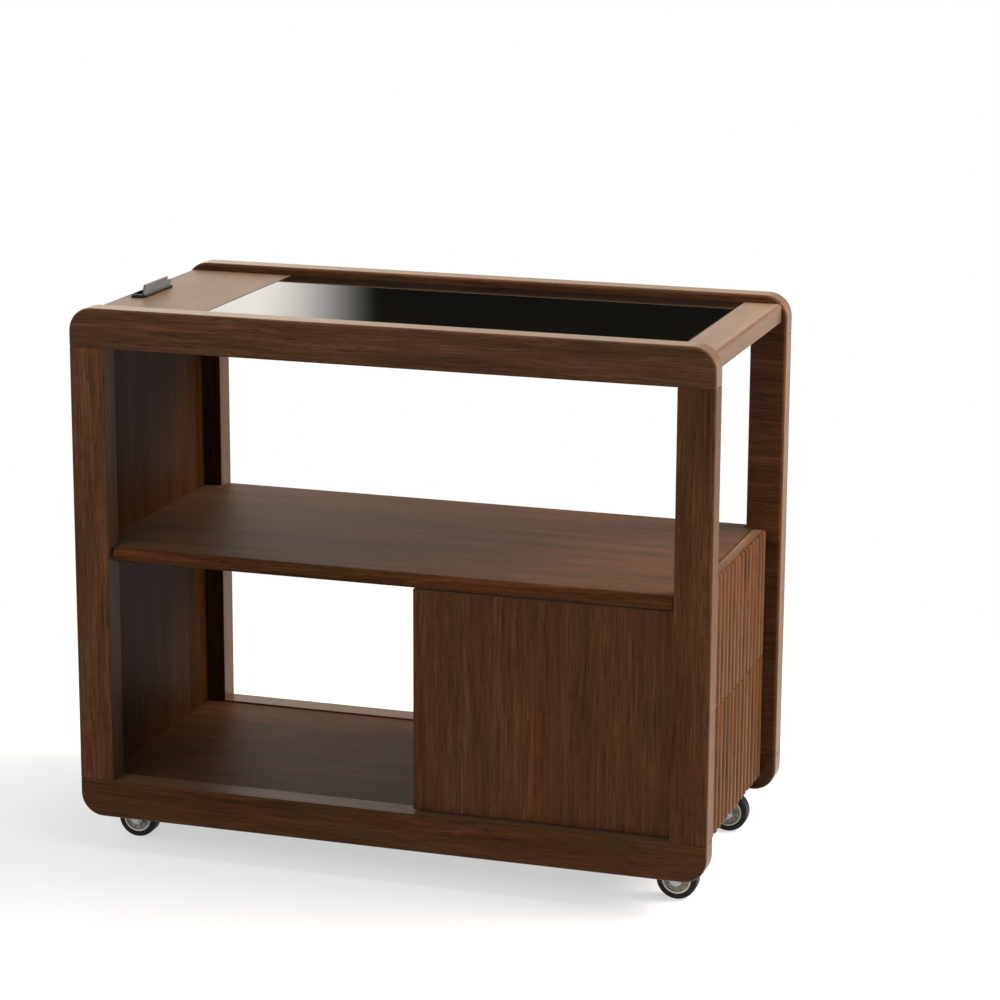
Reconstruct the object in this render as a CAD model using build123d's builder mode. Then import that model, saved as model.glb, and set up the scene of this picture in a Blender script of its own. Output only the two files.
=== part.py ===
"""Rolling side table cart: two walnut frames, a glass and wood top, an open shelf,
a cabinet with two reeded push-open drawers, a flip-lid cable port and four casters.

Millimetres. X runs along the table, Y from the front frame (-) to the back frame (+),
Z up from the floor. The drawers open towards +X."""

from build123d import *
from math import cos, radians, sin
import os

# Frames
frame_width = 800.0
frame_depth = 390.0
frame_height = 640.0
member_thickness = 32.0
rail_height = 48.0
stile_width = 45.0
corner_radius = 29.0
edge_radius = 4.0
inner_edge_radius = 1.0
joint_ease = 0.8

# Boards
board = 18.0
side_board = 15.0
end_inset = 7.0
rail_lip = 2.0
small_ease = 0.6

# Top
top_drop = 10.0
top_thickness = 22.0
left_board_width = 140.0
right_rail_width = 47.0
top_edge_radius = 4.0
glass_thickness = 6.0
glass_gap = 0.8
glass_arris = 0.4

# Shelf and cabinet
shelf_top = 387.0
shelf_nose_inset = 7.0
shelf_end_gap = 3.0
carcass_end_inset = 37.0
cabinet_panel_width = 320.5
panel_inset = 14.0
panel_gap = 2.0
panel_edge_radius = 2.0
divider_setback = 1.5

# Drawers
press_gap = 2.0
front_thickness = 18.0
front_side_gap = 4.5
front_overhang = 4.5
upper_front_height = 161.0
front_seam = 1.5
reed_count = 17
reed_depth = 3.5
groove_width = 1.0
groove_depth = 1.2
box_rise = 28.5
box_height = 100.0
box_board = 12.0
box_back_gap = 14.0
box_bottom = 5.0
box_bottom_rise = 8.0
box_groove = 4.0

# Telescopic slides
slide_space = 13.0
slide_sheet = 1.2
slide_height = 45.0
slide_step = 3.0
slide_web_gap = 1.6
slide_front_gap = 3.0
slide_back_gap = 10.0
catch_length = 7.0
catch_gap = 2.0
catch_height = 30.0

# Cable port
port_x_from_end = 22.5
port_y = -13.0
port_width = 20.0
port_length = 90.0
port_height = 4.5
port_corner = 5.0
port_edge_chamfer = 1.2
sleeve_step = 1.5
sleeve_wall = 1.5
sleeve_clearance = 0.3
lid_seat_rise = 1.0
lid_side_gap = 2.0
lid_edge_gap = 0.3
lid_thickness = 2.2
lid_barrel_radius = 1.6
lid_lean = 10.0
lid_pin_radius = 0.9
lid_pin_fit = 0.05
lid_wall = 2.2
lid_notch_length = 12.0
lid_notch_depth = 5.0

# Casters
caster_height = 71.0
wheel_radius = 25.0
caster_inset_x = 67.0
caster_inset_y = 67.0
caster_trail = 17.0
plate_length = 58.0
plate_width = 46.0
plate_thickness = 2.5
plate_corner = 5.0
screw_spacing_x = 43.0
screw_spacing_y = 32.0
screw_hole_radius = 2.2
cup_height = 5.0
cup_radius = 18.0
cup_foot_radius = 15.0
swivel_gap = 0.5
crown_thickness = 2.5
king_pin_radius = 5.0
king_pin_fit = 0.05
king_head_radius = 8.0
king_head_height = 2.5
cheek_inner = 11.5
cheek_thickness = 2.0
cheek_foot_radius = 7.5
cheek_top_width = 22.0
axle_radius = 3.0
axle_fit = 0.05
axle_head_height = 4.0
axle_head_flats = 10.0
tyre_width = 21.0
tyre_shoulder = 3.0
hub_radius = 18.0
hub_ring_width = 2.2
hub_ring_half = 9.8
hub_web_half = 7.0
hub_boss_radius = 6.0
hub_boss_gap = 0.5

# Levels and faces that follow from the sizes above
half_width = frame_width / 2
half_depth = frame_depth / 2
inner_y = half_depth - member_thickness
inner_x = half_width - stile_width
end_x = half_width - end_inset
bottom_base = caster_height
bottom_top = bottom_base + board
lower_rail_top = bottom_top + rail_lip
frame_base = lower_rail_top - rail_height
frame_top = frame_base + frame_height
upper_rail_base = frame_top - rail_height
top_z = frame_top - top_drop
top_base = top_z - top_thickness
side_inner_x = -end_x + side_board
carcass_end_x = half_width - carcass_end_inset
panel_right_x = inner_x - panel_gap
panel_left_x = panel_right_x - cabinet_panel_width
shelf_base = shelf_top - board

os.makedirs("parts", exist_ok=True)


def save(piece, label):
    piece.part.label = label
    export_step(piece.part, f"parts/{label}.step")


def rectangle_between(x0, x1, y0, y1):
    with Locations(((x0 + x1) / 2, (y0 + y1) / 2)):
        Rectangle(x1 - x0, y1 - y0)


# Frame rails: full width, they carry the round outer corners
for side, outer_offset in (("front", half_depth), ("back", -inner_y)):
    for level, base, joint_face_index in (("top", upper_rail_base, 0), ("bottom", frame_base, -1)):
        with BuildPart() as rail:
            with BuildSketch(Plane.XZ.offset(outer_offset)) as outline:
                rectangle_between(-half_width, half_width, base, base + rail_height)
                outer_corners = outline.vertices().group_by(Axis.Y)[-1 - joint_face_index]
                fillet(outer_corners, corner_radius)
            extrude(amount=-member_thickness)
            joint_face = rail.faces().sort_by(Axis.Z)[joint_face_index]
            show_edges = rail.faces().filter_by(Axis.Y).edges() - joint_face.edges()
            fillet(show_edges, edge_radius)
            joint_face = rail.faces().sort_by(Axis.Z)[joint_face_index]
            chamfer(joint_face.edges(), joint_ease)
        save(rail, f"{side}_{level}_rail")

# Places that the cabinet, the drawers and their slides share
front_inner_x = carcass_end_x + press_gap
front_outer_x = front_inner_x + front_thickness
lower_front_base = bottom_base - front_overhang
upper_front_base = shelf_top - upper_front_height
lower_front_height = upper_front_base - front_seam - lower_front_base
divider_left_x = panel_left_x + divider_setback
divider_right_x = divider_left_x + board
slide_x0 = divider_right_x + slide_back_gap
slide_x1 = carcass_end_x - slide_front_gap
drawers = (
    ("upper", upper_front_base, upper_front_height),
    ("lower", lower_front_base, lower_front_height),
)
slide_heights = [base + box_rise + box_height / 2 for _, base, _ in drawers]

# Frame stiles, between the rails
for side, y0, y1 in (("front", -half_depth, -inner_y), ("back", inner_y, half_depth)):
    for hand, x0, x1, outer, inner in (
        ("left", -half_width, -inner_x, 0, -1),
        ("right", inner_x, half_width, -1, 0),
    ):
        with BuildPart() as stile:
            with BuildSketch(Plane.XY.offset(lower_rail_top)):
                rectangle_between(x0, x1, y0, y1)
            extrude(amount=upper_rail_base - lower_rail_top)
            fillet(stile.edges().filter_by(Axis.Z).group_by(Axis.X)[outer], edge_radius)
            fillet(stile.edges().filter_by(Axis.Z).group_by(Axis.X)[inner], inner_edge_radius)
            chamfer(stile.faces().filter_by(Axis.Z).edges(), joint_ease)
        save(stile, f"{side}_{hand}_stile")

# Cable port places
port_x = -half_width + end_inset + port_x_from_end
recess_width = port_width - 2 * lid_wall
recess_length = port_length - 2 * lid_wall
sleeve_width = port_width - 2 * sleeve_step
sleeve_length = port_length - 2 * sleeve_step
sleeve_corner = port_corner - sleeve_step
bore_corner = sleeve_corner - sleeve_wall
glass_x0 = -end_x + left_board_width
glass_x1 = end_x - right_rail_width

# Left top board, with the slot for the cable port
with BuildPart() as left_top_board:
    with BuildSketch(Plane.XY.offset(top_base)):
        rectangle_between(-end_x, glass_x0, -inner_y, inner_y)
    extrude(amount=top_thickness)
    top_edges = left_top_board.faces().sort_by(Axis.Z)[-1].edges().filter_by(Axis.Y)
    fillet(top_edges.sort_by(Axis.X)[0], top_edge_radius)
    chamfer(top_edges.sort_by(Axis.X)[-1], small_ease)
    with BuildSketch(Plane.XY.offset(top_z)):
        with Locations((port_x, port_y)):
            RectangleRounded(
                sleeve_width + 2 * sleeve_clearance,
                sleeve_length + 2 * sleeve_clearance,
                sleeve_corner + sleeve_clearance,
            )
    extrude(amount=-top_thickness, mode=Mode.SUBTRACT)
save(left_top_board, "left_top_board")

# Right top rail
with BuildPart() as right_top_rail:
    with BuildSketch(Plane.XY.offset(top_base)):
        rectangle_between(glass_x1, end_x, -inner_y, inner_y)
    extrude(amount=top_thickness)
    top_edges = right_top_rail.faces().sort_by(Axis.Z)[-1].edges().filter_by(Axis.Y)
    fillet(top_edges.sort_by(Axis.X)[-1], top_edge_radius)
    chamfer(top_edges.sort_by(Axis.X)[0], small_ease)
save(right_top_rail, "right_top_rail")

# Glass top and the bed panel that it is bonded to
with BuildPart() as glass_bed:
    with BuildSketch(Plane.XY.offset(top_base)):
        rectangle_between(glass_x0, glass_x1, -inner_y, inner_y)
    extrude(amount=top_thickness - glass_thickness)
save(glass_bed, "glass_bed")

with BuildPart() as glass_top:
    with BuildSketch(Plane.XY.offset(top_z - glass_thickness)):
        rectangle_between(
            glass_x0 + glass_gap, glass_x1 - glass_gap, -inner_y + glass_gap, inner_y - glass_gap
        )
    extrude(amount=glass_thickness)
    chamfer(glass_top.faces().sort_by(Axis.Z)[-1].edges(), glass_arris)
save(glass_top, "glass_top")

# Left side panel, from the underside of the bottom panel to the top board
with BuildPart() as left_side_panel:
    with BuildSketch(Plane.XY.offset(bottom_base)):
        rectangle_between(-end_x, side_inner_x, -inner_y, inner_y)
    extrude(amount=top_base - bottom_base)
save(left_side_panel, "left_side_panel")

# Shelf: a full bullnose stands in the openings of both frames
nose_x = inner_x - shelf_end_gap
with BuildPart() as shelf:
    with BuildSketch(Plane.YZ.offset(-nose_x)):
        with Locations((0, shelf_top - board / 2)):
            SlotOverall(2 * (half_depth - shelf_nose_inset), board)
    extrude(amount=2 * nose_x)
    with BuildSketch(Plane.XY.offset(shelf_base)):
        rectangle_between(side_inner_x, carcass_end_x, -inner_y, inner_y)
    extrude(amount=board)
save(shelf, "shelf")

# Bottom panel, which carries the casters
caster_x = half_width - caster_inset_x
caster_y = half_depth - caster_inset_y
caster_places = (
    ("front_left", -caster_x, -caster_y, -1),
    ("front_right", caster_x, -caster_y, 1),
    ("back_left", -caster_x, caster_y, -1),
    ("back_right", caster_x, caster_y, 1),
)
with BuildPart() as bottom_panel:
    with BuildSketch(Plane.XY.offset(bottom_base)):
        rectangle_between(side_inner_x, carcass_end_x, -inner_y, inner_y)
    extrude(amount=board)
save(bottom_panel, "bottom_panel")

# Cabinet divider between the open compartment and the drawers
with BuildPart() as cabinet_divider:
    with BuildSketch(Plane.XY.offset(bottom_top)):
        rectangle_between(divider_left_x, divider_right_x, -inner_y, inner_y)
    extrude(amount=shelf_base - bottom_top)
save(cabinet_divider, "cabinet_divider")

# Fixed cabinet panels in both frame openings
panel_thickness = half_depth - panel_inset - inner_y
for label, outer_offset, show_face_index in (
    ("cabinet_front_panel", half_depth - panel_inset, 0),
    ("cabinet_back_panel", -inner_y, -1),
):
    with BuildPart() as panel:
        with BuildSketch(Plane.XZ.offset(outer_offset)):
            rectangle_between(
                panel_left_x, panel_right_x, lower_rail_top + panel_gap, shelf_base - panel_gap
            )
        extrude(amount=-panel_thickness)
        show_face = panel.faces().sort_by(Axis.Y)[show_face_index]
        fillet(show_face.edges().sort_by(Axis.X)[0], panel_edge_radius)
    save(panel, label)

# Drawers: reeded front, two grooved sides, back and bottom
front_half = inner_y - front_side_gap
pitch = (2 * front_half + groove_width) / reed_count
valley_x = front_outer_x - reed_depth
box_half = inner_y - slide_space
box_inner = box_half - box_board
box_x0 = divider_right_x + box_back_gap
for name, base, height in drawers:
    box_base = base + box_rise
    bottom_low = box_base + box_bottom_rise
    bottom_high = bottom_low + box_bottom

    with BuildPart() as reeded_front:
        with BuildSketch(Plane.XY.offset(base)):
            with BuildLine():
                for i in range(reed_count):
                    start = -front_half + i * pitch
                    end = start + pitch - groove_width
                    crest = (start + end) / 2
                    ThreePointArc((valley_x, start), (front_outer_x, crest), (valley_x, end))
                    if i < reed_count - 1:
                        Polyline(
                            (valley_x, end),
                            (valley_x - groove_depth, end),
                            (valley_x - groove_depth, end + groove_width),
                            (valley_x, end + groove_width),
                        )
                Polyline(
                    (valley_x, front_half),
                    (front_inner_x, front_half),
                    (front_inner_x, -front_half),
                    (valley_x, -front_half),
                )
            make_face()
        extrude(amount=height)
    save(reeded_front, f"{name}_drawer_front")

    for hand, sign in (("left", -1), ("right", 1)):
        with BuildPart() as box_side:
            with BuildSketch(Plane.YZ.offset(box_x0)):
                faces_y = sorted((sign * box_inner, sign * box_half))
                rectangle_between(*faces_y, box_base, box_base + box_height)
                groove_y = sorted((sign * box_inner, sign * (box_inner + box_groove)))
                with Locations((sum(groove_y) / 2, (bottom_low + bottom_high) / 2)):
                    Rectangle(box_groove, box_bottom, mode=Mode.SUBTRACT)
            extrude(amount=front_inner_x - box_x0)
            long_top_edges = box_side.faces().sort_by(Axis.Z)[-1].edges().filter_by(Axis.X)
            fillet(long_top_edges, inner_edge_radius)
        save(box_side, f"{name}_drawer_{hand}_side")

    with BuildPart() as box_back:
        with BuildSketch(Plane.XY.offset(bottom_high)):
            rectangle_between(box_x0, box_x0 + box_board, -box_inner, box_inner)
        extrude(amount=box_base + box_height - bottom_high)
        long_top_edges = box_back.faces().sort_by(Axis.Z)[-1].edges().filter_by(Axis.Y)
        fillet(long_top_edges, inner_edge_radius)
    save(box_back, f"{name}_drawer_back")

    with BuildPart() as box_floor:
        with BuildSketch(Plane.XY.offset(bottom_low)):
            floor_half = box_inner + box_groove
            rectangle_between(box_x0, front_inner_x, -floor_half, floor_half)
        extrude(amount=box_bottom)
    save(box_floor, f"{name}_drawer_bottom")

# Telescopic slides, one pair for each drawer: three nested channels on each side
middle_web_y = inner_y - slide_sheet - slide_web_gap
drawer_flange_y = middle_web_y - slide_sheet - slide_web_gap
middle_flange_y = box_half + slide_sheet + small_ease
cabinet_flange_y = middle_flange_y + small_ease
middle_height = slide_height - 2 * slide_step
drawer_rail_height = middle_height - 2 * slide_step
channels = (
    ("cabinet", slide_x0, inner_y, cabinet_flange_y, slide_height),
    ("middle", slide_x0 + catch_gap, middle_web_y, middle_flange_y, middle_height),
    ("drawer", slide_x0 + catch_gap, box_half, drawer_flange_y, drawer_rail_height),
)
for (name, _, _), mid_z in zip(drawers, slide_heights):
    for member, x0, web_y, flange_y, height in channels:
        inward = -1 if flange_y < web_y else 1
        with BuildPart() as slide_rails:
            with BuildSketch(Plane.YZ.offset(x0)):
                for sign in (-1, 1):
                    outer_y = sorted((sign * web_y, sign * flange_y))
                    rectangle_between(*outer_y, mid_z - height / 2, mid_z + height / 2)
                    hollow_web = web_y + inward * slide_sheet
                    hollow_y = sorted((sign * hollow_web, sign * flange_y))
                    hollow = height - 2 * slide_sheet
                    with Locations((sum(hollow_y) / 2, mid_z)):
                        Rectangle(hollow_y[1] - hollow_y[0], hollow, mode=Mode.SUBTRACT)
            extrude(amount=slide_x1 - x0)
        save(slide_rails, f"{name}_slide_{member}_rails")

# Push-open catches closing the rear end of each cabinet rail
with BuildPart() as slide_catches:
    for sign in (-1, 1):
        with BuildSketch(Plane.YZ.offset(slide_x0 - catch_length)):
            for mid_z in slide_heights:
                block_y = sorted((sign * inner_y, sign * cabinet_flange_y))
                rectangle_between(*block_y, mid_z - catch_height / 2, mid_z + catch_height / 2)
        extrude(amount=catch_length)
save(slide_catches, "slide_catches")

# Cable port: a flanged sleeve through the top board, with a seat for the lid
seat_z = top_z + lid_seat_rise
lid_axis_x = port_x + recess_width / 2 - lid_barrel_radius - lid_edge_gap
lid_axis_z = seat_z + lid_barrel_radius + lid_edge_gap
lid_reach = recess_width - lid_barrel_radius - 2 * lid_edge_gap
lid_length = recess_length - 2 * lid_side_gap
lid_pin_length = recess_length + lid_wall
port_place = Location((port_x, port_y))
with BuildPart() as cable_port_ring:
    with BuildSketch(Plane.XY.offset(top_z)):
        with Locations(port_place):
            RectangleRounded(port_width, port_length, port_corner)
    extrude(amount=port_height)
    chamfer(cable_port_ring.faces().sort_by(Axis.Z)[-1].edges(), port_edge_chamfer)
    with BuildSketch(Plane.XY.offset(top_z)):
        with Locations(port_place):
            RectangleRounded(sleeve_width, sleeve_length, sleeve_corner)
    extrude(amount=-top_thickness)
    with BuildSketch(Plane.XY.offset(seat_z)):
        with Locations(port_place):
            RectangleRounded(recess_width, recess_length, port_corner - lid_wall)
    extrude(amount=port_height, mode=Mode.SUBTRACT)
    with BuildSketch(Plane.XY.offset(top_base)):
        with Locations(port_place):
            RectangleRounded(
                sleeve_width - 2 * sleeve_wall, sleeve_length - 2 * sleeve_wall, bore_corner
            )
    extrude(amount=top_thickness + port_height, mode=Mode.SUBTRACT)
    with BuildSketch(Plane.XZ.offset(lid_pin_length / 2 - port_y)):
        with Locations((lid_axis_x, lid_axis_z)):
            Circle(lid_pin_radius)
    extrude(amount=-lid_pin_length, mode=Mode.SUBTRACT)
save(cable_port_ring, "cable_port_ring")

# Lid of the cable port, standing open past upright, with a notch for a cable at its back corner
lean = radians(lid_lean)
lid_plane = Plane(
    origin=(lid_axis_x, port_y - lid_length / 2, lid_axis_z),
    x_dir=(sin(lean), 0, cos(lean)),
    z_dir=(0, 1, 0),
)
with BuildPart() as cable_port_lid:
    with BuildSketch(lid_plane):
        Circle(lid_barrel_radius)
        rectangle_between(0, lid_reach, -lid_thickness / 2, lid_thickness / 2)
        Circle(lid_pin_radius + lid_pin_fit, mode=Mode.SUBTRACT)
    extrude(amount=lid_length)
    with BuildSketch(lid_plane.offset(lid_length)):
        rectangle_between(lid_reach - lid_notch_depth, lid_reach, -lid_thickness, lid_thickness)
    extrude(amount=-lid_notch_length, mode=Mode.SUBTRACT)
save(cable_port_lid, "cable_port_lid")

with BuildPart() as cable_port_pin:
    with BuildSketch(Plane.XZ.offset(lid_pin_length / 2 - port_y)):
        with Locations((lid_axis_x, lid_axis_z)):
            Circle(lid_pin_radius)
    extrude(amount=-lid_pin_length)
save(cable_port_pin, "cable_port_pin")

# Casters: screwed plate with its race cup and king pin, fork, axle bolt, hub and tyre
plate_base = caster_height - plate_thickness
cup_base = plate_base - cup_height
crown_top = cup_base - swivel_gap
crown_base = crown_top - crown_thickness
king_head_top = crown_base - swivel_gap
for place, x, y, outward in caster_places:
    axle_x = x + outward * caster_trail
    swivel = Location((x, y))

    with BuildPart() as caster_plate:
        with BuildSketch(Plane.XY.offset(plate_base)):
            with Locations(swivel):
                RectangleRounded(plate_length, plate_width, plate_corner)
                with GridLocations(screw_spacing_x, screw_spacing_y, 2, 2):
                    Circle(screw_hole_radius, mode=Mode.SUBTRACT)
        extrude(amount=plate_thickness)
        with BuildSketch(Plane.XZ.offset(-y)):
            with BuildLine():
                Polyline(
                    (x, plate_base),
                    (x + cup_radius, plate_base),
                    (x + cup_foot_radius, cup_base),
                    (x + king_pin_radius, cup_base),
                    (x + king_pin_radius, king_head_top),
                    (x + king_head_radius, king_head_top),
                    (x + king_head_radius, king_head_top - king_head_height),
                    (x, king_head_top - king_head_height),
                    close=True,
                )
            make_face()
        revolve(axis=Axis((x, y, 0), (0, 0, 1)))
    save(caster_plate, f"{place}_caster_plate")

    with BuildPart() as caster_fork:
        for cheek_y in (y - cheek_inner, y + cheek_inner + cheek_thickness):
            with BuildSketch(Plane.XZ.offset(-cheek_y)):
                with BuildLine():
                    CenterArc((axle_x, wheel_radius), cheek_foot_radius, 0, 360)
                    Polyline(
                        (x - cheek_top_width / 2, crown_base),
                        (x - cheek_top_width / 2, crown_top),
                        (x + cheek_top_width / 2, crown_top),
                        (x + cheek_top_width / 2, crown_base),
                        close=True,
                    )
                make_hull()
                with Locations((axle_x, wheel_radius)):
                    Circle(axle_radius, mode=Mode.SUBTRACT)
            extrude(amount=cheek_thickness)
        with BuildSketch(Plane.XY.offset(crown_base)):
            with Locations(swivel):
                Circle(cup_radius)
        extrude(amount=crown_thickness)
        with BuildSketch(Plane.XY.offset(crown_base)):
            with Locations(swivel):
                Circle(king_pin_radius + king_pin_fit)
        extrude(amount=crown_thickness, mode=Mode.SUBTRACT)
    save(caster_fork, f"{place}_caster_fork")

    fork_outer = cheek_inner + cheek_thickness
    with BuildPart() as caster_axle:
        with BuildSketch(Plane.XZ.offset(fork_outer - y)):
            with Locations((axle_x, wheel_radius)):
                Circle(axle_radius)
        extrude(amount=-2 * fork_outer)
        for head_offset, direction in ((fork_outer - y, 1), (-fork_outer - y, -1)):
            with BuildSketch(Plane.XZ.offset(head_offset)):
                with Locations((axle_x, wheel_radius)):
                    RegularPolygon(axle_head_flats / 2, 6, major_radius=False)
            extrude(amount=direction * axle_head_height)
    save(caster_axle, f"{place}_caster_axle")

    wheel_axis = Axis((axle_x, y, wheel_radius), (0, 1, 0))
    boss_half = cheek_inner - hub_boss_gap
    ring_inner = hub_radius - hub_ring_width
    half_profile = (
        (axle_radius + axle_fit, 0),
        (axle_radius + axle_fit, boss_half),
        (hub_boss_radius, boss_half),
        (hub_boss_radius, hub_web_half),
        (ring_inner, hub_web_half),
        (ring_inner, hub_ring_half),
        (hub_radius, hub_ring_half),
        (hub_radius, 0),
    )
    with BuildPart() as caster_hub:
        with BuildSketch(Plane.XY.offset(wheel_radius)):
            with BuildLine():
                Polyline(*[(axle_x + r, y + h) for r, h in half_profile], close=True)
            make_face()
            mirror(about=Plane.XZ.offset(-y))
        revolve(axis=wheel_axis)
    save(caster_hub, f"{place}_caster_hub")

    with BuildPart() as caster_tyre:
        with BuildSketch(Plane.XY.offset(wheel_radius)) as section:
            rectangle_between(
                axle_x + hub_radius, axle_x + wheel_radius, y - tyre_width / 2, y + tyre_width / 2
            )
            chamfer(section.vertices().group_by(Axis.X)[-1], tyre_shoulder)
        revolve(axis=wheel_axis)
    save(caster_tyre, f"{place}_caster_tyre")
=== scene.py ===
"""The looks of a rolling side table: walnut veneer and solid walnut edges, black glass,
moulded plastic, zinc-plated steel and rubber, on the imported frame."""

import math

import bmesh
import bpy
from mathutils import Matrix, Vector


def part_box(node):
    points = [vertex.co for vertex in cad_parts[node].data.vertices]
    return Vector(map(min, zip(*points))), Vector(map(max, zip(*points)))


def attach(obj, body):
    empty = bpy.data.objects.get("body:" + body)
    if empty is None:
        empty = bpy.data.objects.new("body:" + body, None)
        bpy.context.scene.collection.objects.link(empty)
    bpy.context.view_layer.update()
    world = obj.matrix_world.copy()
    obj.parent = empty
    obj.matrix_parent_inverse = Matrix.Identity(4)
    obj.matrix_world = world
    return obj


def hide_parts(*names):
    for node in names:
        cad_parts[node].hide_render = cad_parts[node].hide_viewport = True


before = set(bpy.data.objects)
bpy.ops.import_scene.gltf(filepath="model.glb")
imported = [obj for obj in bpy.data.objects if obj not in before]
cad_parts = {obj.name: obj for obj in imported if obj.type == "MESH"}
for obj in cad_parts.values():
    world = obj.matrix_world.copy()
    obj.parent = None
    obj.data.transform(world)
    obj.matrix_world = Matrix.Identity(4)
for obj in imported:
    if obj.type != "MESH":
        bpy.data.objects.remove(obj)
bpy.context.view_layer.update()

MM = 0.001
LEVELS = ("upper", "lower")
PLACES = ("front_left", "front_right", "back_left", "back_right")


def middle_of(node):
    """The middle of a CAD node's box."""
    low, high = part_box(node)
    return (low + high) / 2


# Camera: the photograph's angle, with no shift
LENS_MM = 113.99
FILM_WIDTH_MM = 36.0
CAMERA_PLACE = (1.2318, -3.6010, 1.3491)
CAMERA_HEADING = math.radians(17.695)
CAMERA_DIP = math.radians(13.545)
CAMERA_ROLL = math.radians(0.288)
LEVEL_VIEW = math.radians(90)

camera_data = bpy.data.cameras.new("camera")
camera_data.lens = LENS_MM
camera_data.sensor_width = FILM_WIDTH_MM
camera = bpy.data.objects.new("camera", camera_data)
bpy.context.scene.collection.objects.link(camera)
camera.matrix_world = (
    Matrix.Translation(CAMERA_PLACE)
    @ Matrix.Rotation(CAMERA_HEADING, 4, "Z")
    @ Matrix.Rotation(LEVEL_VIEW - CAMERA_DIP, 4, "X")
    @ Matrix.Rotation(CAMERA_ROLL, 4, "Z")
)
bpy.context.scene.camera = camera
bpy.context.scene.view_settings.view_transform = "Standard"


# Materials
WHITE = "ffffff"


def colour(hex_code):
    """An sRGB hex colour as linear RGBA."""
    channels = [int(hex_code[i:i + 2], 16) / 255 for i in (0, 2, 4)]
    linear = [c / 12.92 if c <= 0.04045 else ((c + 0.055) / 1.055) ** 2.4 for c in channels]
    return (*linear, 1.0)


def per_metre(millimetres):
    """How many features of this width lie in a metre: the scale of a pattern."""
    return 1 / (millimetres * MM)


def connect(tree, node, inputs):
    """Gives each input named a value, or a link from another node's output."""
    for socket, value in inputs.items():
        if isinstance(value, bpy.types.NodeSocket):
            tree.links.new(value, node.inputs[socket])
        else:
            node.inputs[socket].default_value = value


def add(tree, kind, inputs=None, stops=(), **settings):
    """Adds one shader node with its settings and inputs. A colour ramp also has its stops:
    each one's position and hex colour."""
    node = tree.nodes.new("ShaderNode" + kind)
    for key, value in settings.items():
        setattr(node, key, value)
    connect(tree, node, inputs or {})
    for index, (position, hex_code) in enumerate(stops):
        elements = node.color_ramp.elements
        element = elements[index] if index < len(elements) else elements.new(position)
        element.position = position
        element.color = colour(hex_code)
    return node


def empty_material(name):
    """A material and its node tree, with nothing in it."""
    material = bpy.data.materials.new(name)
    material.use_nodes = True
    material.node_tree.nodes.clear()
    return material, material.node_tree


def surface_material(name):
    """A material with its principled shader and its output."""
    material, tree = empty_material(name)
    shader = add(tree, "BsdfPrincipled")
    add(tree, "OutputMaterial", {"Surface": shader.outputs["BSDF"]})
    return material, tree, shader


# Layers of walnut's grain: width across and length along it in millimetres, detail, roughness.
# Real fibres are under half a millimetre wide and real pores 0.2 mm: both are drawn coarser here,
# 2.2 and 1 mm wide, so that they show.
GRAIN_LAYERS = {
    "wander": (90.0, 170.0, 1.0, 0.5),
    "bands": (30.0, 480.0, 2.0, 0.5),
    "streaks": (8.0, 150.0, 4.0, 0.62),
    "fibres": (2.2, 75.0, 3.0, 0.6),
    "pores": (1.0, 20.0, 1.0, 0.5),
    "drift": (22.0, 240.0, 2.0, 0.5),
}
# The turn that lays the pattern's length, its X, along each axis
GRAIN_TURNS = {
    "X": (0.0, 0.0, 0.0),
    "Y": (0.0, 0.0, math.radians(-90)),
    "Z": (0.0, math.radians(90), 0.0),
}
# Each board is cut at its own place along this line through the pattern
CUT_LINE = Vector((1.0, 0.37, 0.61))
WANDER_REACH = 13.0 * MM
WALNUT_BROWNS = ((0.0, "33200f"), (0.34, "482d18"), (0.62, "50321d"), (1.0, "60402a"))
WALNUT_HUES = ((0.36, "7f8468"), (0.64, "9a7b62"))
PORE_COLOUR = "1c0e06"
PORE_DEPTH = 0.12 * MM


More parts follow.
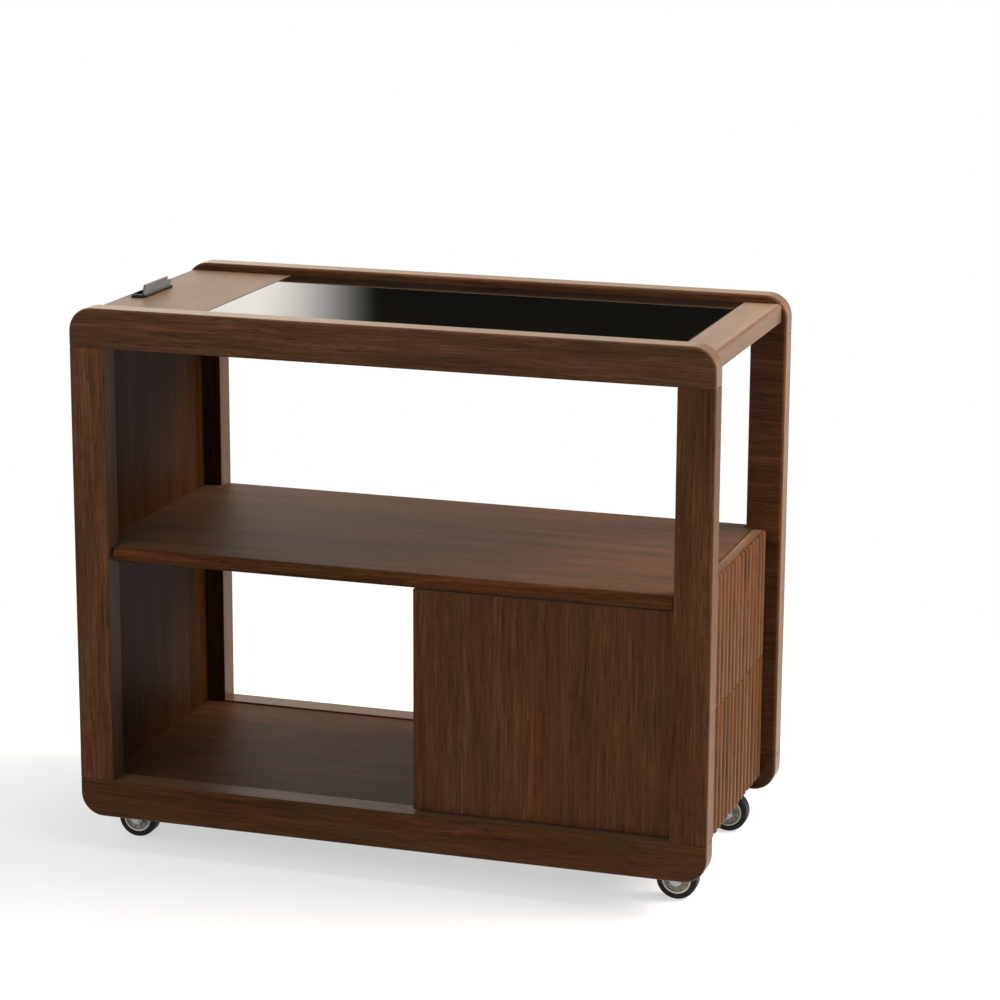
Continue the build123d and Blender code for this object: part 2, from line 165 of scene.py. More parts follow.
def walnut(name, grain, cut, lightness, saturation, gloss, banded=None):
    """Black walnut, straight-sliced and stained, under a satin lacquer: soft bands of light and
    dark, irregular streaks, and dark pores drawn out along the grain, with little mirror head-on
    and a pale bloom at a low angle. grain is the axis it runs along, cut its place in the pattern.
    A cross-banded board has banded: the axis of the veneer on the sides that would show end grain,
    and the two places along grain that those sides start from."""
    material, tree, shader = surface_material(name)
    surface = add(tree, "TexCoord").outputs["Object"]

    def laid_along(axis):
        return add(tree, "Mapping", {
            "Vector": surface, "Rotation": GRAIN_TURNS[axis], "Location": cut * CUT_LINE,
        }).outputs["Vector"]

    def layer(kind, vector):
        across_mm, along_mm, detail, roughness = GRAIN_LAYERS[kind]
        stretched = add(tree, "Mapping", {
            "Vector": vector,
            "Scale": (per_metre(along_mm), per_metre(across_mm), per_metre(across_mm)),
        }).outputs["Vector"]
        return add(tree, "TexNoise", {
            "Vector": stretched, "Scale": 1.0, "Detail": detail, "Roughness": roughness,
        }).outputs["Fac"]

    board = laid_along(grain)
    if banded:
        side_grain, (start, end) = banded
        along = add(tree, "SeparateXYZ", {"Vector": surface}).outputs[grain]
        from_middle = add(tree, "Math", {0: along, 1: (start + end) / 2}, operation="SUBTRACT")
        from_middle = add(tree, "Math", {0: from_middle.outputs[0]}, operation="ABSOLUTE")
        on_side = add(tree, "Math", {
            0: from_middle.outputs[0], 1: (end - start) / 2,
        }, operation="GREATER_THAN").outputs[0]
        board = add(tree, "Mix", {
            "Factor": on_side, "A": board, "B": laid_along(side_grain),
        }, data_type="VECTOR").outputs["Result"]

    # The grain wanders by a few millimetres over a hand's length
    offset = add(tree, "Math", {0: layer("wander", board), 1: 0.5}, operation="SUBTRACT").outputs[0]
    offset = add(tree, "Math", {0: offset, 1: WANDER_REACH}, operation="MULTIPLY").outputs[0]
    sideways = add(tree, "CombineXYZ", {"Y": offset, "Z": offset}).outputs["Vector"]
    wandered = add(tree, "VectorMath", {0: board, 1: sideways}, operation="ADD").outputs["Vector"]

    fibres = layer("fibres", wandered)
    pores = layer("pores", wandered)
    figure = add(tree, "Mix", {
        "Factor": 0.5, "A": layer("bands", wandered), "B": layer("streaks", wandered),
    }).outputs["Result"]
    figure = add(tree, "Mix", {"Factor": 0.42, "A": figure, "B": fibres}).outputs["Result"]
    figure = add(tree, "MapRange", {
        "Value": figure, "From Min": 0.39, "From Max": 0.61,
    }).outputs["Result"]
    brown = add(tree, "ValToRGB", {"Fac": figure}, stops=WALNUT_BROWNS).outputs["Color"]
    # Heartwood drifts between olive and red brown
    hue = add(tree, "ValToRGB", {
        "Fac": layer("drift", wandered),
    }, stops=WALNUT_HUES).outputs["Color"]
    toned = add(tree, "Mix", {
        "Factor": 0.6, "A": brown, "B": hue,
    }, data_type="RGBA", blend_type="SOFT_LIGHT").outputs["Result"]
    pore_mask = add(tree, "MapRange", {
        "Value": pores, "From Min": 0.43, "From Max": 0.30, "To Max": 0.62,
    }).outputs["Result"]
    wood = add(tree, "Mix", {
        "Factor": pore_mask, "A": toned, "B": colour(PORE_COLOUR),
    }, data_type="RGBA").outputs["Result"]
    wood = add(tree, "HueSaturation", {
        "Color": wood, "Saturation": saturation, "Value": lightness,
    }).outputs["Color"]
    # More gloss is a thicker coat: smoother, with more mirror and more bloom
    rough = add(tree, "MapRange", {
        "Value": fibres, "To Min": 0.50 - 0.18 * gloss, "To Max": 0.62 - 0.16 * gloss,
    }).outputs["Result"]
    bump = add(tree, "Bump", {"Height": pores, "Strength": 0.25, "Distance": PORE_DEPTH})
    connect(tree, shader, {
        "Base Color": wood,
        "Roughness": rough,
        "Normal": bump.outputs["Normal"],
        "Specular IOR Level": 0.03 + 0.10 * gloss,
        "Specular Tint": colour("ffe6c8"),
        "Sheen Weight": 0.25 * gloss,
        "Sheen Roughness": 0.34,
        "Sheen Tint": colour("fff2d8"),
    })
    return material


# Widths of the faint patterns in the other surfaces: a wiping hand's haze on glass, the cloud of a
# moulding's flow, a wheel's scuffs and the bloom of a zinc bath
HAZE_MM = 111.11
CLOUD_MM = 16.667
SCUFF_MM = 3.846
BLOOM_MM = 6.25


def black_glass(name):
    """Float glass, fire-polished on top and enamelled black on its back: a near-black mirror with
    the faintest haze."""
    material, tree, shader = surface_material(name)
    surface = add(tree, "TexCoord").outputs["Object"]
    haze = add(tree, "TexNoise", {
        "Vector": surface, "Scale": per_metre(HAZE_MM), "Detail": 3.0,
    }).outputs["Fac"]
    tone = add(tree, "ValToRGB", {"Fac": haze}, stops=((0.3, "070706"), (0.7, "0b0a09")))
    rough = add(tree, "MapRange", {"Value": haze, "To Min": 0.02, "To Max": 0.05})
    connect(tree, shader, {
        "Base Color": tone.outputs["Color"],
        "Roughness": rough.outputs["Result"],
        "IOR": 1.5,
        "Specular IOR Level": 0.3,
    })
    return material


def moulded(name, low_hex, high_hex, rough, grit_mm=0.6, bump_mm=0.02, shine=0.5):
    """A plastic or rubber as it leaves its mould: one even colour with a faint cloud in it, and the
    fine grit of the mould's spark-eroded or polished wall in its gloss."""
    material, tree, shader = surface_material(name)
    surface = add(tree, "TexCoord").outputs["Object"]
    grit = add(tree, "TexNoise", {
        "Vector": surface, "Scale": per_metre(grit_mm), "Detail": 2.0,
    }).outputs["Fac"]
    cloud = add(tree, "TexNoise", {
        "Vector": surface, "Scale": per_metre(CLOUD_MM), "Detail": 3.0,
    }).outputs["Fac"]
    tone = add(tree, "ValToRGB", {"Fac": cloud}, stops=((0.3, low_hex), (0.7, high_hex)))
    roughness = add(tree, "MapRange", {
        "Value": grit, "To Min": rough - 0.05, "To Max": rough + 0.06,
    })
    bump = add(tree, "Bump", {"Height": grit, "Strength": 0.4, "Distance": bump_mm * MM})
    connect(tree, shader, {
        "Base Color": tone.outputs["Color"],
        "Roughness": roughness.outputs["Result"],
        "Normal": bump.outputs["Normal"],
        "Specular IOR Level": shine,
    })
    return material


# The axles stand at this distance from the table's middle and at this height
AXLE_X = middle_of("front_right_caster_tyre").x
AXLE_Z = middle_of("front_right_caster_tyre").z
HUB_RADIUS = 18.0 * MM
RING_WIDTH = 2.2 * MM
# The hub's ring has a painted highlight, pale from just outside its inner edge, fading in over this
# width
RIM_HIGHLIGHT_FROM = 0.1 * MM
RIM_HIGHLIGHT_FADE = 0.4 * MM


def rimmed_nylon(name):
    """Pale injection-moulded nylon whose outer ring has a painted highlight, a pale band for the
    light its polished rim catches; the disc inside it is darker and scuffed."""
    material, tree, shader = surface_material(name)
    surface = add(tree, "TexCoord").outputs["Object"]
    # The four wheels mirror each other, so one distance from the axle line serves them all
    axes = add(tree, "SeparateXYZ", {"Vector": surface}).outputs
    along = add(tree, "Math", {0: axes["X"]}, operation="ABSOLUTE").outputs[0]
    along = add(tree, "Math", {0: along, 1: AXLE_X}, operation="SUBTRACT").outputs[0]
    above = add(tree, "Math", {0: axes["Z"], 1: AXLE_Z}, operation="SUBTRACT").outputs[0]
    spoke = add(tree, "CombineXYZ", {"X": along, "Z": above}).outputs["Vector"]
    radius = add(tree, "VectorMath", {0: spoke}, operation="LENGTH").outputs["Value"]
    ring_start = HUB_RADIUS - RING_WIDTH + RIM_HIGHLIGHT_FROM
    ring = add(tree, "MapRange", {
        "Value": radius,
        "From Min": ring_start - RIM_HIGHLIGHT_FADE / 2, "From Max": ring_start + RIM_HIGHLIGHT_FADE / 2,
    }).outputs["Result"]
    scuffs = add(tree, "TexNoise", {
        "Vector": surface, "Scale": per_metre(SCUFF_MM), "Detail": 3.0,
    }).outputs["Fac"]
    disc = add(tree, "ValToRGB", {"Fac": scuffs}, stops=((0.36, "77736a"), (0.64, "a39e94")))
    # Painted highlight: the ring is mixed towards a pale grey
    tone = add(tree, "Mix", {
        "Factor": ring, "A": disc.outputs["Color"], "B": colour("dad6cd"),
    }, data_type="RGBA").outputs["Result"]
    rough = add(tree, "MapRange", {"Value": scuffs, "To Min": 0.34, "To Max": 0.5})
    connect(tree, shader, {"Base Color": tone, "Roughness": rough.outputs["Result"]})
    return material


def bare_steel(name, low_hex, high_hex, rough):
    """Steel with a metal surface, zinc plated or ground and polished: grey, with a faint cloudy
    bloom in its colour and its gloss."""
    material, tree, shader = surface_material(name)
    surface = add(tree, "TexCoord").outputs["Object"]
    bloom = add(tree, "TexNoise", {
        "Vector": surface, "Scale": per_metre(BLOOM_MM), "Detail": 4.0,
    }).outputs["Fac"]
    tone = add(tree, "ValToRGB", {"Fac": bloom}, stops=((0.3, low_hex), (0.7, high_hex)))
    roughness = add(tree, "MapRange", {
        "Value": bloom, "To Min": rough - 0.03, "To Max": rough + 0.05,
    })
    connect(tree, shader, {
        "Base Color": tone.outputs["Color"],
        "Roughness": roughness.outputs["Result"],
        "Metallic": 1.0,
    })
    return material


def dress(node, material):
    """Gives a CAD node its material."""
    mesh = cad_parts[node].data
    mesh.materials.clear()
    mesh.materials.append(material)


# Walnut, one board at a time: its grain axis, lightness, saturation and gloss. The lightness is
# partly painted light and shade: the inner boards and the bottom rail are darkened as painted
# shade, the drawer fronts lightened as painted light.
BOARDS = {
    "front_top_rail": ("X", 1.03, 0.90, 1.0),
    "front_bottom_rail": ("X", 0.90, 1.0, 0.8),
    "back_top_rail": ("X", 1.0, 0.92, 1.0),
    "back_bottom_rail": ("X", 0.95, 0.94, 1.0),
    "front_left_stile": ("Z", 1.24, 0.90, 0.35),
    "front_right_stile": ("Z", 1.06, 0.95, 0.55),
    "back_left_stile": ("Z", 0.98, 0.92, 1.0),
    "back_right_stile": ("X", 1.22, 0.95, 0.9),
    "left_top_board": ("Y", 0.95, 0.94, 0.65),
    "right_top_rail": ("Y", 1.05, 0.92, 1.0),
    "glass_bed": ("X", 0.95, 0.95, 0.5),
    "left_side_panel": ("Z", 0.66, 1.02, 0.1),
    "shelf": ("X", 0.92, 0.98, 0.22),
    "bottom_panel": ("X", 0.85, 1.0, 0.2),
    "cabinet_divider": ("Z", 0.9, 1.0, 0.2),
    "cabinet_front_panel": ("Z", 1.02, 0.98, 0.9),
    "cabinet_back_panel": ("Z", 1.0, 1.0, 0.9),
    "upper_drawer_front": ("Z", 1.31, 1.0, 0.45),
    "lower_drawer_front": ("Z", 1.24, 1.03, 0.4),
}
# How far apart in the pattern one board is cut from the next
BOARD_CUT = 0.31
# The photograph shows this stile's veneer laid across it; its rounded sides run lengthways
CROSS_BANDED = "back_right_stile"
SIDE_START = 1.5 * MM
for index, (node, (grain, lightness, saturation, gloss)) in enumerate(BOARDS.items()):
    banded = None
    if node == CROSS_BANDED:
        low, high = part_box(node)
        banded = ("Z", (low.x + SIDE_START, high.x - SIDE_START))
    dress(node, walnut(
        f"satin_walnut_{node}", grain, BOARD_CUT * (index + 1), lightness, saturation, gloss, banded,
    ))

# The drawers' boxes: each board's grain axis, then the lightness, saturation and gloss of all
BOX_GRAINS = {"left_side": "X", "right_side": "X", "back": "Y", "bottom": "X"}
BOX_FINISH = (1.25, 0.95, 0.4)
BOX_CUT = 0.23
for level, first_cut in zip(LEVELS, (7.1, 8.3)):
    for index, (board, grain) in enumerate(BOX_GRAINS.items()):
        node = f"{level}_drawer_{board}"
        cut = first_cut + BOX_CUT * (index + 1)
        dress(node, walnut(f"drawer_walnut_{node}", grain, cut, *BOX_FINISH))

glass = black_glass("back_enamelled_glass")
zinc = bare_steel("zinc_plated_steel", "96989a", "a4a6a7", 0.34)
bright_steel = bare_steel("polished_bearing_steel", "c0c2c4", "cdcfd0", 0.14)
black_gloss = moulded("polished_black_abs", "080808", "0c0c0c", 0.16, grit_mm=2.0, bump_mm=0.004)
grey_abs = moulded("spark_textured_grey_abs", "505152", "5a5b5c", 0.45)
hub_nylon = rimmed_nylon("pale_grey_nylon")
tyre_rubber = moulded("black_rubber", "0d0c0c", "141313", 0.55, shine=0.2)

dress("glass_top", glass)
dress("cable_port_ring", black_gloss)
dress("cable_port_lid", grey_abs)
dress("cable_port_pin", zinc)
dress("slide_catches", grey_abs)
for level in LEVELS:
    for member in ("cabinet", "middle", "drawer"):
        dress(f"{level}_slide_{member}_rails", zinc)
for place in PLACES:
    for part in ("plate", "fork", "axle"):
        dress(f"{place}_caster_{part}", zinc)
    dress(f"{place}_caster_hub", hub_nylon)
    dress(f"{place}_caster_tyre", tyre_rubber)


# New pieces: a repeated shape is made once, about its own axis, and copied to each of its places
SHARP = math.radians(32)
CREASE = math.radians(60)
TINY = 1e-6
NO_MATERIAL = -1


def add_piece(name, bm, material, body, stands_for=None):
    """Makes a finished bmesh a piece that rides on a body and, where a CAD node is named, stands
    for it. The piece is smooth up to its sharp edges."""
    for face in bm.faces:
        face.smooth = True
    for edge in bm.edges:
        edge.smooth = edge.is_manifold and edge.calc_face_angle() < SHARP
    mesh = bpy.data.meshes.new(name)
    bm.to_mesh(mesh)
    bm.free()
    mesh.materials.append(material)
    piece = bpy.data.objects.new(name, mesh)
    bpy.context.scene.collection.objects.link(piece)
    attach(piece, body)
    if stands_for:
        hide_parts(stands_for)


def as_mesh(bm, name):
    """Closes one repeated shape and turns it outward, as a mesh to copy from."""
    bmesh.ops.remove_doubles(bm, verts=bm.verts, dist=TINY)
    bmesh.ops.recalc_face_normals(bm, faces=bm.faces)
    mesh = bpy.data.meshes.new(name)
    bm.to_mesh(mesh)
    bm.free()
    return mesh


def add_copy(bm, mesh, matrix):
    """Adds a mesh to a bmesh at a place."""
    placed = mesh.copy()
    placed.transform(matrix)
    bm.from_mesh(placed)
    bpy.data.meshes.remove(placed)


def bevel(bm, edges, width, segments):
    bmesh.ops.bevel(
        bm, geom=edges, offset=width, segments=segments, profile=0.5,
        affect="EDGES", material=NO_MATERIAL,
    )


def creased_edges(bm):
    return [e for e in bm.edges if e.is_manifold and e.calc_face_angle() > CREASE]


def block(low, high, ease, segments=2):
    """A closed box between two corners, its edges eased."""
    bm = bmesh.new()
    bmesh.ops.create_cube(bm, size=1.0)
    size = Vector(high) - Vector(low)
    middle = (Vector(high) + Vector(low)) / 2
    bmesh.ops.transform(
        bm, matrix=Matrix.Translation(middle) @ Matrix.Diagonal((*size, 1.0)), verts=bm.verts,
    )
    bevel(bm, bm.edges[:], ease, segments)
    return bm


def turned(profile, axis, steps=64):
    """A profile of (radius, height) points turned a full circle about an axis through the origin.
    A profile that keeps off the axis is closed into a ring."""
    bm = bmesh.new()
    points = [bm.verts.new((r, h, 0.0) if axis == "Y" else (r, 0.0, h)) for r, h in profile]
    line = [bm.edges.new(pair) for pair in zip(points, points[1:])]
    if profile[0][0] > 0 and profile[-1][0] > 0:
        line.append(bm.edges.new((points[-1], points[0])))
    bmesh.ops.spin(
        bm, geom=points + line, cent=(0, 0, 0), axis=(0, 1, 0) if axis == "Y" else (0, 0, 1),
        angle=math.tau, steps=steps, use_merge=True,
    )
    bmesh.ops.remove_doubles(bm, verts=bm.verts, dist=TINY)
    bmesh.ops.recalc_face_normals(bm, faces=bm.faces)
    return bm


def moved_verts(extruded):
    """The vertices among what an extrusion made."""
    return [item for item in extruded["geom"] if isinstance(item, bmesh.types.BMVert)]


# Drawer fronts: half-round reeds with softened ends, a narrow groove between each two
REED_COUNT = 17
REED_DEPTH = 3.5 * MM
GROOVE_WIDTH = 1.0 * MM
GROOVE_DEPTH = 1.2 * MM
REED_SINK = 0.5 * MM
REED_END_EASE = 1.6 * MM
SLAB_EASE = 0.4 * MM


def reed(radius, height):
    """One reed standing on Z = 0: the part of a round bar, centred on the Z axis, that lies past
    its chord, and a foot under the chord that sinks into the slab."""
    chord_x = radius - REED_DEPTH
    bm = bmesh.new()
    bmesh.ops.create_circle(bm, cap_ends=True, radius=radius, segments=96)
    bmesh.ops.bisect_plane(
        bm, geom=bm.verts[:] + bm.edges[:] + bm.faces[:],
        plane_co=(chord_x, 0, 0), plane_no=(1, 0, 0), clear_inner=True,
    )
    chord = [e for e in bm.edges if all(abs(v.co.x - chord_x) < TINY for v in e.verts)]
    foot = bmesh.ops.extrude_edge_only(bm, edges=chord)
    bmesh.ops.translate(bm, vec=(-GROOVE_DEPTH - REED_SINK, 0, 0), verts=moved_verts(foot))
    top = bmesh.ops.extrude_face_region(bm, geom=bm.faces[:])
    bmesh.ops.translate(bm, vec=(0, 0, height), verts=moved_verts(top))
    bmesh.ops.recalc_face_normals(bm, faces=bm.faces)
    # The round outlines of the two ends, but not the foot's
    ends = [
        e for e in creased_edges(bm)
        if abs(e.verts[0].co.z - e.verts[1].co.z) < TINY
        and all(v.co.x > chord_x - TINY for v in e.verts)
        and any(v.co.x > chord_x + TINY for v in e.verts)
    ]
    bevel(bm, ends, REED_END_EASE, 3)
    return as_mesh(bm, "reed")


for level in LEVELS:
    node = f"{level}_drawer_front"
    low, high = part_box(node)
    pitch = (high.y - low.y + GROOVE_WIDTH) / REED_COUNT
    half_reed = (pitch - GROOVE_WIDTH) / 2
    radius = (half_reed ** 2 + REED_DEPTH ** 2) / (2 * REED_DEPTH)
    reed_mesh = reed(radius, high.z - low.z)
    front_bm = block(low, (high.x - REED_DEPTH - GROOVE_DEPTH, high.y, high.z), SLAB_EASE)
    for index in range(REED_COUNT):
        crest_y = low.y + half_reed + index * pitch
        add_copy(front_bm, reed_mesh, Matrix.Translation((high.x - radius, crest_y, low.z)))
    add_piece(
        f"{level}_reeded_front", front_bm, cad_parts[node].data.materials[0],
        f"{level}_drawer", stands_for=node,
    )


# Caster wheels: a hub of boss, web, ring and ribs, and a round-shouldered tyre
AXLE_BORE = 3.05 * MM
WHEEL_RADIUS = 25.0 * MM
RING_HALF = 9.8 * MM
WEB_HALF = 7.0 * MM
BOSS_RADIUS = 6.0 * MM
BOSS_HALF = 11.0 * MM
HUB_EASE = 0.45 * MM
RIB_COUNT = 10
RIB_HALF = 0.6 * MM
RIB_RISE = 1.3 * MM
RIB_SINK = 0.5 * MM
RIB_EASE = 0.3 * MM
TYRE_HALF = 10.5 * MM
TYRE_SHOULDER = 3.4 * MM
TYRE_EASE = 0.5 * MM


def hub():
    """A wheel's hub about its middle, its axle along Y."""
    ring_inside = HUB_RADIUS - RING_WIDTH
    half = [
        (AXLE_BORE, BOSS_HALF), (BOSS_RADIUS, BOSS_HALF), (BOSS_RADIUS, WEB_HALF),
        (ring_inside, WEB_HALF), (ring_inside, RING_HALF), (HUB_RADIUS, RING_HALF),
    ]
    bm = turned(half + [(r, -h) for r, h in reversed(half)], "Y")
    bevel(bm, creased_edges(bm), HUB_EASE, 2)
    rib = as_mesh(block(
        (BOSS_RADIUS - RIB_SINK, WEB_HALF - RIB_SINK, -RIB_HALF),
        (ring_inside + RIB_SINK, WEB_HALF + RIB_RISE, RIB_HALF), RIB_EASE,
    ), "hub_rib")
    for side in (0, math.pi):
        for index in range(RIB_COUNT):
            turn = Matrix.Rotation(math.tau * index / RIB_COUNT, 4, "Y")
            add_copy(bm, rib, Matrix.Rotation(side, 4, "Z") @ turn)
    return as_mesh(bm, "hub")


def tyre():
    """A wheel's tyre about its middle, its axle along Y: the tread's shoulders are rounded, the
    bore's edges only eased."""
    bm = turned([
        (HUB_RADIUS, -TYRE_HALF), (WHEEL_RADIUS, -TYRE_HALF),
        (WHEEL_RADIUS, TYRE_HALF), (HUB_RADIUS, TYRE_HALF),
    ], "Y", steps=96)
    half_way_out = (HUB_RADIUS + WHEEL_RADIUS) / 2
    shoulders = [
        e for e in creased_edges(bm)
        if all(math.hypot(v.co.x, v.co.z) > half_way_out for v in e.verts)
    ]
    bevel(bm, shoulders, TYRE_SHOULDER, 6)
    bevel(bm, creased_edges(bm), TYRE_EASE, 2)
    return as_mesh(bm, "tyre")


# Pan-head screws with a six-lobed socket; the low ones clear a drawer slide's next member
SOCKET_LOBES = 6
LOBE_DEPTH = 0.16


def pan_head(name, radius, height):
    """A screw head standing on its foot, its socket opening upward."""
    socket = 0.36 * radius
    floor_z = 0.4 * height
    bm = turned([
        (0.0, floor_z), (0.9 * socket, floor_z), (socket, height),
        (0.55 * radius, 0.97 * height), (0.8 * radius, 0.75 * height),
        (0.97 * radius, 0.35 * height), (radius, 0.0), (0.0, 0.0),
    ], "Z", steps=24)
    for vert in bm.verts:
        if vert.co.z > 0.3 * height and math.hypot(vert.co.x, vert.co.y) < 1.1 * socket:
            lobe = 1 + LOBE_DEPTH * math.cos(SOCKET_LOBES * math.atan2(vert.co.y, vert.co.x))
            vert.co.x *= lobe
            vert.co.y *= lobe
    return as_mesh(bm, name)


# Casters: four screws under each plate, and the swivel's rivet under the fork's crown
SCREW_X = 21.5 * MM
SCREW_Y = 16.0 * MM
PLATE_THICKNESS = 2.5 * MM
CROWN_THICKNESS = 2.5 * MM
RIVET_PROFILE = [
    (0.0, -2.2 * MM), (2.6 * MM, -2.0 * MM), (4.4 * MM, -1.2 * MM), (5.2 * MM, 0.0),
    (5.2 * MM, 0.3 * MM), (0.0, 0.3 * MM),
]
UPSIDE_DOWN = Matrix.Rotation(math.pi, 4, "X")
hub_mesh = hub()
tyre_mesh = tyre()
plate_screw = pan_head("plate_screw", radius=3.7 * MM, height=2.0 * MM)
rivet_mesh = as_mesh(turned(RIVET_PROFILE, "Z", steps=32), "rivet")

for place in PLACES:
    axle = Matrix.Translation(middle_of(f"{place}_caster_tyre"))
    for label, mesh, material, slot in (
        ("hub", hub_mesh, hub_nylon, "light_grey_plastic"),
        ("tyre", tyre_mesh, tyre_rubber, "tyre_rubber"),
    ):
        wheel_bm = bmesh.new()
        add_copy(wheel_bm, mesh, axle)
        add_piece(
            f"{place}_wheel_{label}", wheel_bm, material, f"{place}_wheel",
            stands_for=f"{place}_caster_{label}",
        )
    pivot = middle_of(f"{place}_caster_plate")
    plate_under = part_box(f"{place}_caster_plate")[1].z - PLATE_THICKNESS
    screws_bm = bmesh.new()
    for x in (-SCREW_X, SCREW_X):
        for y in (-SCREW_Y, SCREW_Y):
            spot = Matrix.Translation((pivot.x + x, pivot.y + y, plate_under))
            add_copy(screws_bm, plate_screw, spot @ UPSIDE_DOWN)
    add_piece(f"{place}_plate_screws", screws_bm, zinc, "carcass")
    crown_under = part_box(f"{place}_caster_fork")[1].z - CROWN_THICKNESS
    rivet_bm = bmesh.new()
    add_copy(rivet_bm, rivet_mesh, Matrix.Translation((pivot.x, pivot.y, crown_under)))
    add_piece(f"{place}_swivel_rivet", rivet_bm, zinc, f"{place}_caster")


# Drawer slides: fixing screws, and balls in their retainers between the nested flanges. The three
# channels of a slide are of one sheet, each smaller than the last by a step at top and bottom.
SLIDE_HALF = 22.5 * MM
SLIDE_SHEET = 1.2 * MM
SLIDE_STEP = 3.0 * MM
BALL_RADIUS = 0.8 * MM
BALL_PITCH = 7.2 * MM
BALL_COUNT = 20
RETAINER_DEPTH = 3.4 * MM
RETAINER_THICKNESS = 0.5 * MM
RETAINER_EASE = 0.12 * MM
# How far from the slide's middle the outer gap between two flanges lies, and the inner one
OUTER_GAP = SLIDE_HALF - (SLIDE_SHEET + SLIDE_STEP) / 2
INNER_GAP = OUTER_GAP - SLIDE_STEP
# Each retainer's rear end, the gap it lies in, and its distance from the table's middle
RETAINERS = (
    (67.0 * MM, OUTER_GAP, 155.8 * MM),
    (212.0 * MM, INNER_GAP, 154.6 * MM),
)
# The web that the screws clamp, the way their heads face from it, and their places along it
WEB_FACES = {"cabinet": 161.8 * MM, "drawer": 151.2 * MM}
HEADS_FACE = {"cabinet": -1, "drawer": 1}
SCREW_PLACES = {
    "cabinet": (84.0 * MM, 212.0 * MM, 340.0 * MM),
    "drawer": (96.0 * MM, 232.0 * MM, 338.0 * MM),
}
slide_screw = pan_head("slide_screw", radius=3.4 * MM, height=1.2 * MM)
retainer_mesh = as_mesh(block(
    (0.0, -RETAINER_DEPTH / 2, -RETAINER_THICKNESS / 2),
    (BALL_PITCH * BALL_COUNT, RETAINER_DEPTH / 2, RETAINER_THICKNESS / 2), RETAINER_EASE, 1,
), "retainer")
balls_bm = bmesh.new()
for index in range(BALL_COUNT):
    bmesh.ops.create_uvsphere(
        balls_bm, u_segments=14, v_segments=8, radius=BALL_RADIUS,
        matrix=Matrix.Translation(((index + 0.5) * BALL_PITCH, 0.0, 0.0)),
    )
balls_mesh = as_mesh(balls_bm, "balls")

for level in LEVELS:
    slide_z = middle_of(f"{level}_slide_cabinet_rails").z
    for label, mesh, material in (
        ("ball_retainers", retainer_mesh, zinc), ("slide_balls", balls_mesh, bright_steel),
    ):
        row_bm = bmesh.new()
        for rear_x, gap, from_table in RETAINERS:
            for side in (-1, 1):
                for flange in (-1, 1):
                    spot = (rear_x, side * from_table, slide_z + flange * gap)
                    add_copy(row_bm, mesh, Matrix.Translation(spot))
        add_piece(f"{level}_{label}", row_bm, material, f"{level}_slide_middle")
    for member, body in (("cabinet", "carcass"), ("drawer", f"{level}_drawer")):
        row_bm = bmesh.new()
        for side in (-1, 1):
            tilt = Matrix.Rotation(math.radians(-90) * side * HEADS_FACE[member], 4, "X")
            for x in SCREW_PLACES[member]:
                spot = Matrix.Translation((x, side * WEB_FACES[member], slide_z))
                add_copy(row_bm, slide_screw, spot @ tilt)
        add_piece(f"{level}_{member}_slide_screws", row_bm, zinc, body)


# Stage: a pale floor, a white surround and soft lamps
FLOOR_REACH = 30.0
FLOOR_GLOW = 0.55
FLOOR_WHITENS = (0.5, 1.3)
SURROUND_LIGHT = 0.42


def seen_rays(tree):
    """One for camera, glossy and transmission rays, which show the white surround."""
    rays = add(tree, "LightPath").outputs
    seen = add(tree, "Math", {
        0: rays["Is Camera Ray"], 1: rays["Is Glossy Ray"],
    }, operation="MAXIMUM").outputs[0]
    return add(tree, "Math", {
        0: seen, 1: rays["Is Transmission Ray"],
    }, operation="MAXIMUM").outputs[0]


def pale_floor():
    """Matt pale grey near the table, where it takes the shadow, and white further off."""
    material, tree = empty_material("pale_matt_floor")
    seen = seen_rays(tree)
    surface = add(tree, "TexCoord").outputs["Object"]
    distance = add(tree, "VectorMath", {0: surface}, operation="LENGTH").outputs["Value"]
    near, far = FLOOR_WHITENS
    whiteness = add(tree, "MapRange", {
        "Value": distance, "From Min": near, "From Max": far,
    }, interpolation_type="SMOOTHSTEP").outputs["Result"]
    whiteness = add(tree, "Math", {0: whiteness, 1: seen}, operation="MULTIPLY").outputs[0]
    glow = add(tree, "Math", {0: seen, 1: FLOOR_GLOW}, operation="MULTIPLY").outputs[0]
    matt = add(tree, "BsdfDiffuse", {"Color": colour("a6a7aa")}).outputs["BSDF"]
    lit = add(tree, "Emission", {"Color": colour(WHITE), "Strength": glow}).outputs["Emission"]
    near_floor = add(tree, "AddShader", {0: matt, 1: lit}).outputs["Shader"]
    far_floor = add(tree, "Emission", {"Color": colour(WHITE)}).outputs["Emission"]
    both = add(tree, "MixShader", {"Fac": whiteness, 1: near_floor, 2: far_floor})
    add(tree, "OutputMaterial", {"Surface": both.outputs["Shader"]})
    return material


def stand_on_stage(name, bm, material):
    """Makes a bmesh part of the stage."""
    mesh = bpy.data.meshes.new(name)
    bm.to_mesh(mesh)
    bm.free()
    mesh.materials.append(material)
    thing = bpy.data.objects.new(name, mesh)
    bpy.context.scene.collection.objects.link(thing)
    return thing


floor_bm = bmesh.new()
bmesh.ops.create_grid(floor_bm, x_segments=1, y_segments=1, size=FLOOR_REACH)
stand_on_stage("floor", floor_bm, pale_floor())

world = bpy.data.worlds.new("white_surround")
bpy.context.scene.world = world
world.use_nodes = True
world_tree = world.node_tree
world_tree.nodes.clear()
world_strength = add(world_tree, "MapRange", {
    "Value": seen_rays(world_tree), "To Min": SURROUND_LIGHT, "To Max": 1.0,
}).outputs["Result"]
surround = add(world_tree, "Background", {"Color": colour(WHITE), "Strength": world_strength})
add(world_tree, "OutputWorld", {"Surface": surround.outputs["Background"]})

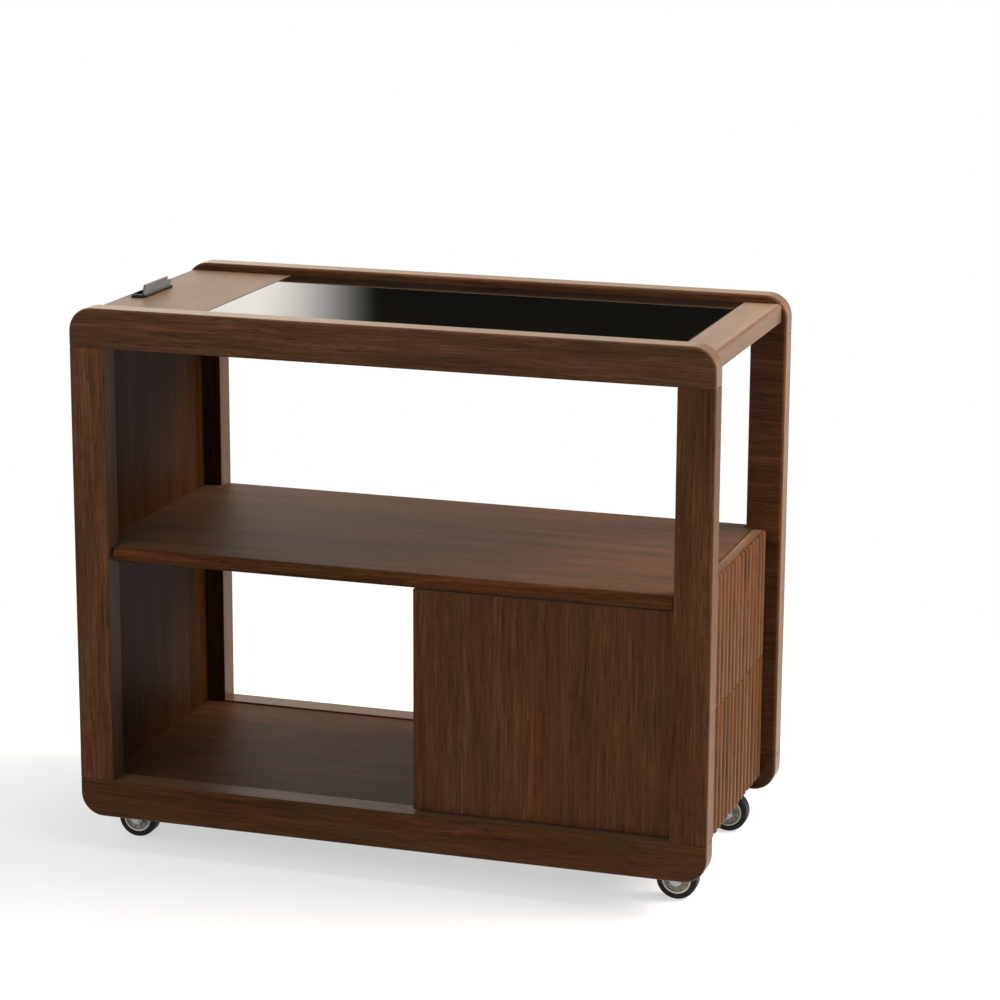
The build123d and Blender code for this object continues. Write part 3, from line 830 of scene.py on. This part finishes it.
# A dark band round the studio, seen only in reflections, keeps the black glass black.
# It is open at the back left, where a lamp shows in the glass as a window would.
BAND_RADIUS = 2.4
BAND_LOW = 0.9
BAND_HIGH = 1.34
BAND_FROM = math.radians(-210)
BAND_TO = math.radians(128)
BAND_STEPS = 64
# Where the felt is clear and where it is full, along each axis
BAND_FADES_X = (-1.12, -0.88)
BAND_FADES_Y = (1.0, -0.4)
BAND_FADES_LOW = (BAND_LOW, 1.01)
BAND_FADES_HIGH = (BAND_HIGH, 1.16)


def dark_felt():
    """Black felt, thinning out towards the band's two edges and its open end, so that its
    reflection fades in."""
    material, tree = empty_material("dark_felt")
    surface = add(tree, "TexCoord").outputs["Object"]
    axes = add(tree, "SeparateXYZ", {"Vector": surface}).outputs

    def fade(axis, places):
        """Nothing at the first of two places and one at the second, softly between."""
        return add(tree, "MapRange", {
            "Value": axes[axis], "From Min": places[0], "From Max": places[1],
        }, interpolation_type="SMOOTHSTEP").outputs["Result"]

    cover = add(tree, "Math", {
        0: fade("X", BAND_FADES_X), 1: fade("Y", BAND_FADES_Y),
    }, operation="MAXIMUM").outputs[0]
    for places in (BAND_FADES_LOW, BAND_FADES_HIGH):
        cover = add(tree, "Math", {0: cover, 1: fade("Z", places)}, operation="MULTIPLY").outputs[0]
    felt = add(tree, "BsdfDiffuse", {"Color": colour("0a0909")}).outputs["BSDF"]
    clear = add(tree, "BsdfTransparent").outputs["BSDF"]
    both = add(tree, "MixShader", {"Fac": cover, 1: clear, 2: felt}).outputs["Shader"]
    add(tree, "OutputMaterial", {"Surface": both})
    return material


band_bm = bmesh.new()
start = Matrix.Rotation(BAND_FROM, 3, "Z") @ Vector((BAND_RADIUS, 0.0, 0.0))
ends = [band_bm.verts.new((start.x, start.y, z)) for z in (BAND_LOW, BAND_HIGH)]
edge = band_bm.edges.new(ends)
bmesh.ops.spin(
    band_bm, geom=ends + [edge], cent=(0, 0, 0), axis=(0, 0, 1),
    angle=BAND_TO - BAND_FROM, steps=BAND_STEPS,
)
band = stand_on_stage("dark_band", band_bm, dark_felt())
for kind in ("camera", "diffuse", "transmission", "shadow"):
    setattr(band, f"visible_{kind}", False)

# Lamps, soft boxes: place, target, width and height, power in watts and tint
LAMPS = {
    "window": ((1.9, 0.6, 1.6), (0.3, 0.0, 0.4), (1.4, 1.4), 140.0, "fff4e4"),
    "high_window": ((0.9, 1.9, 2.2), (0.2, 0.0, 0.67), (2.0, 1.0), 34.0, "fff8e0"),
    "overhead": ((0.3, 0.0, 2.3), (0.2, 0.0, 0.67), (1.2, 1.2), 24.0, "fff6ec"),
    "front_fill": ((-1.4, -3.4, 2.0), (0.0, 0.0, 0.35), (2.4, 2.4), 80.0, "fff6ee"),
    "back_window": ((-1.55, 2.45, 1.35), (-0.2, 0.0, 0.6), (1.2, 1.2), 5.5, "fff6e8"),
}
# Only this one shows in reflections: the black glass would turn white where it mirrors the others
MIRRORED_LAMP = "back_window"
for name, (place, target, (width, height), power, tint) in LAMPS.items():
    lamp_data = bpy.data.lights.new(name, "AREA")
    lamp_data.shape = "RECTANGLE"
    lamp_data.size = width
    lamp_data.size_y = height
    lamp_data.energy = power
    lamp_data.color = colour(tint)[:3]
    lamp = bpy.data.objects.new(name, lamp_data)
    bpy.context.scene.collection.objects.link(lamp)
    lamp.location = place
    lamp.rotation_euler = (Vector(target) - Vector(place)).to_track_quat("-Z", "Y").to_euler()
    lamp.visible_camera = False
    lamp.visible_glossy = name == MIRRORED_LAMP
